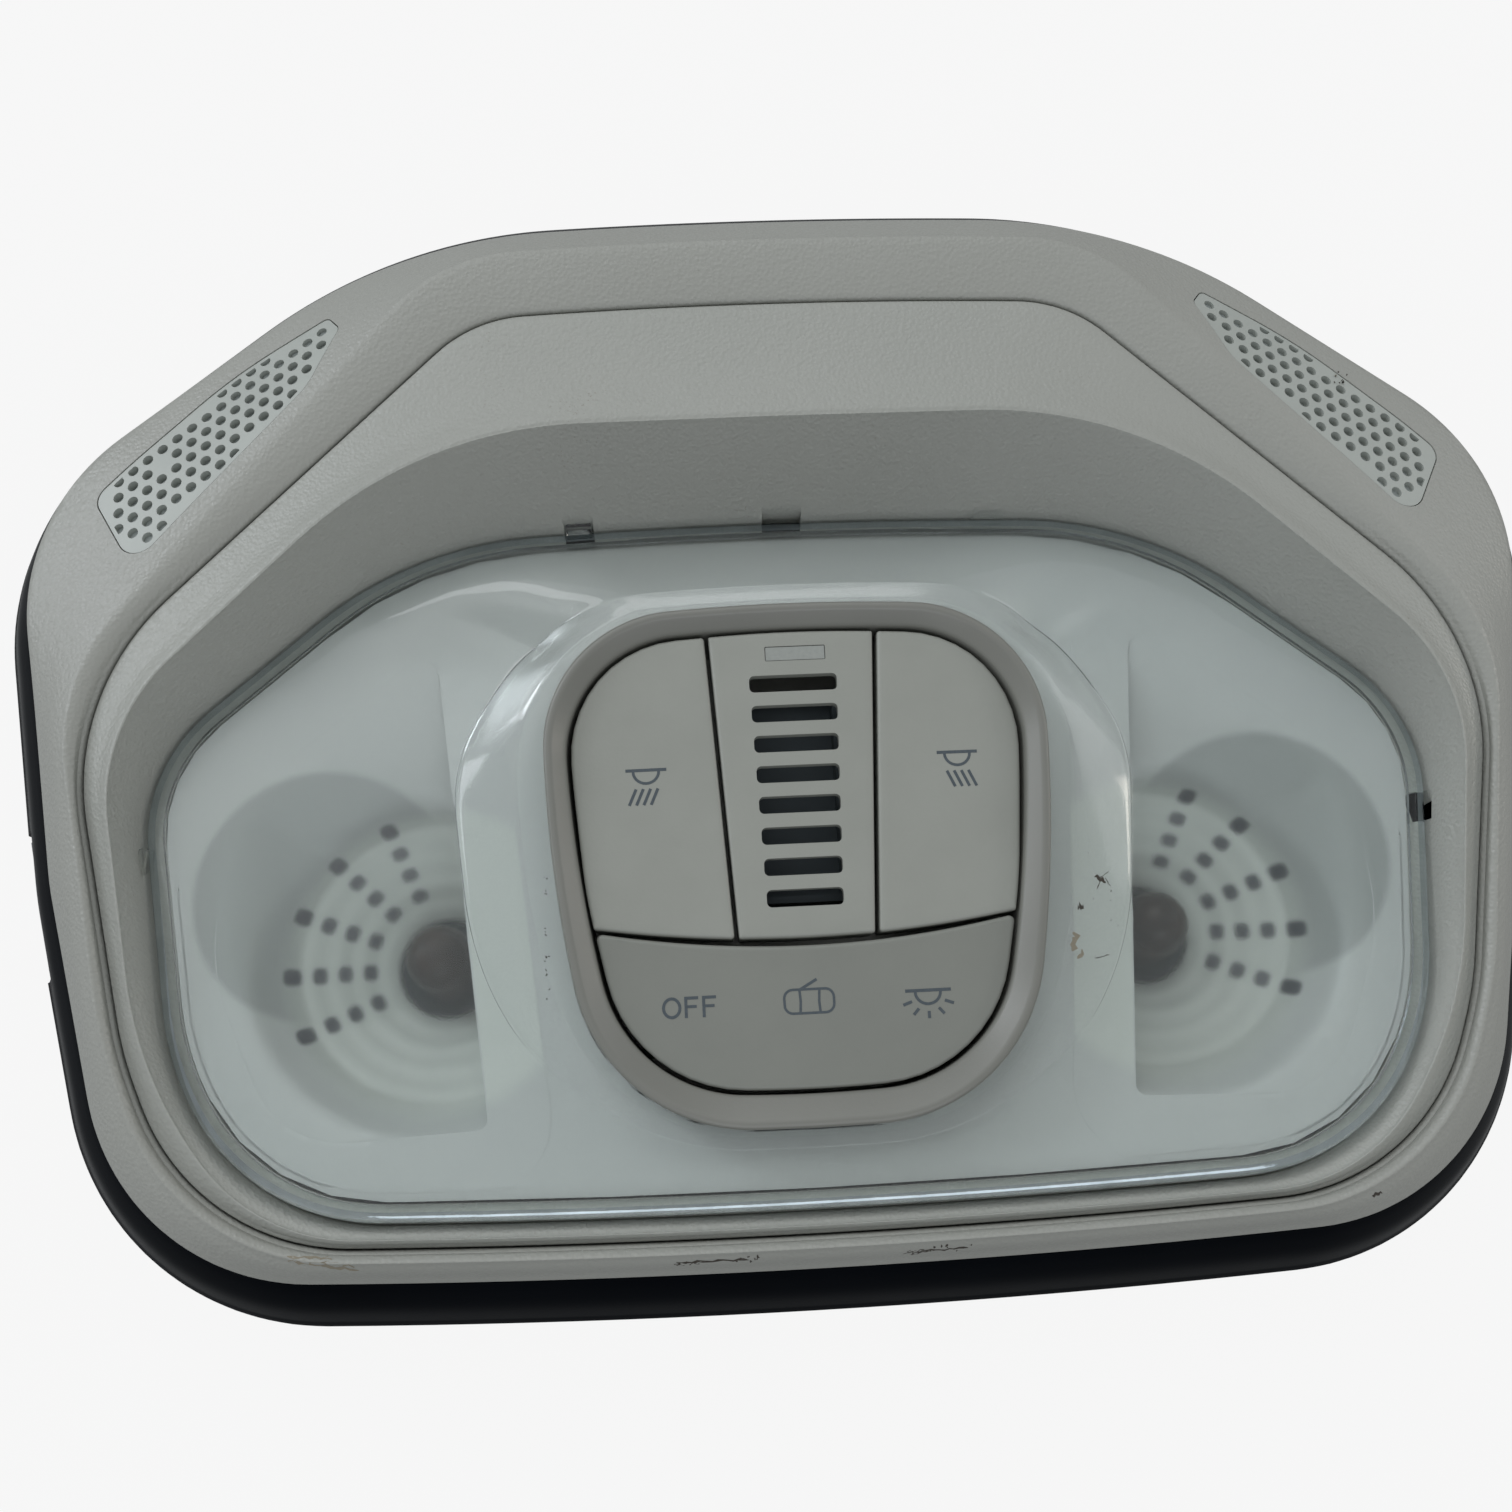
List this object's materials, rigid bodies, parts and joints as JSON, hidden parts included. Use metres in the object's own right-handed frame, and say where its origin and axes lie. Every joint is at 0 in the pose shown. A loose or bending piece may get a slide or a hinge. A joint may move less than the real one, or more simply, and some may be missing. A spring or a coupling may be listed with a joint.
{
  "type": "car dome light",
  "caption": "Overhead courtesy and map light console with clear lens, two push keys, a three-way rocker, slotted centre bar and microphone grilles.",
  "frame": {"origin": "centre of the footprint on the rear plane that faces the roof", "axes": "+X to the right seen from the cabin, +Y to the upper side in the picture, +Z from the roof towards the passenger"},
  "size_m": [0.2424, 0.1764, 0.0478],
  "materials": {
    "trim": "grained ABS, warm grey",
    "grille": "grained ABS, warm grey",
    "capsule": "black moulded capsule",
    "black_abs": "semi-gloss black ABS",
    "lens": "clear polycarbonate",
    "window": "translucent light pipe",
    "reflector": "white diffusing polycarbonate",
    "bulb_glass": "clear glass",
    "holder": "black heat-resistant nylon",
    "keys": "soft-touch grey",
    "carrier": "natural ABS",
    "baffle": "black",
    "steel": "zinc plated",
    "board": "solder resist on glass fibre",
    "switch_body": "black",
    "silicone": "translucent silicone",
    "connector": "natural nylon",
    "spring_steel": "spring steel"
  },
  "bodies": {
    "housing": {"trim_bezel": "trim", "inner_surround": "trim", "grille_left": "grille", "grille_right": "grille", "microphone_left": "capsule", "microphone_right": "capsule", "back_frame": "black_abs", "rear_housing": "black_abs", "lens": "lens", "reflector_panel": "reflector", "lamp_bowl_left": "reflector", "lamp_bowl_right": "reflector", "bulb_left": "bulb_glass", "bulb_right": "bulb_glass", "bulb_holder_left": "holder", "bulb_holder_right": "holder", "switch_ring": "trim", "switch_carrier": "carrier", "centre_grille": "keys", "slot_baffle": "baffle", "indicator_window": "window", "rocker_pin": "steel", "circuit_board": "board", "key_switches": "switch_body", "switch_domes": "silicone", "connector_socket": "connector", "spring_clips": "spring_steel", "housing_screws": "steel"},
    "left_key": {"left_key": "keys"},
    "right_key": {"right_key": "keys"},
    "mode_rocker": {"mode_rocker": "keys"}
  },
  "joints": [
    {"name": "left_key_press", "type": "slide", "parent": "housing", "child": "left_key", "axis": [0, 0, -1], "range_m": [0, 0.0015], "stiffness_N_per_m": 800, "deforming": ["switch_domes"]},
    {"name": "right_key_press", "type": "slide", "parent": "housing", "child": "right_key", "axis": [0, 0, -1], "range_m": [0, 0.0015], "stiffness_N_per_m": 800, "deforming": ["switch_domes"]},
    {"name": "mode_rock", "type": "hinge", "parent": "housing", "child": "mode_rocker", "pos_m": [0, -0.0462, 0.0384], "axis": [0, 1, 0], "range_deg": [-4, 4], "deforming": ["switch_domes"]}
  ]
}
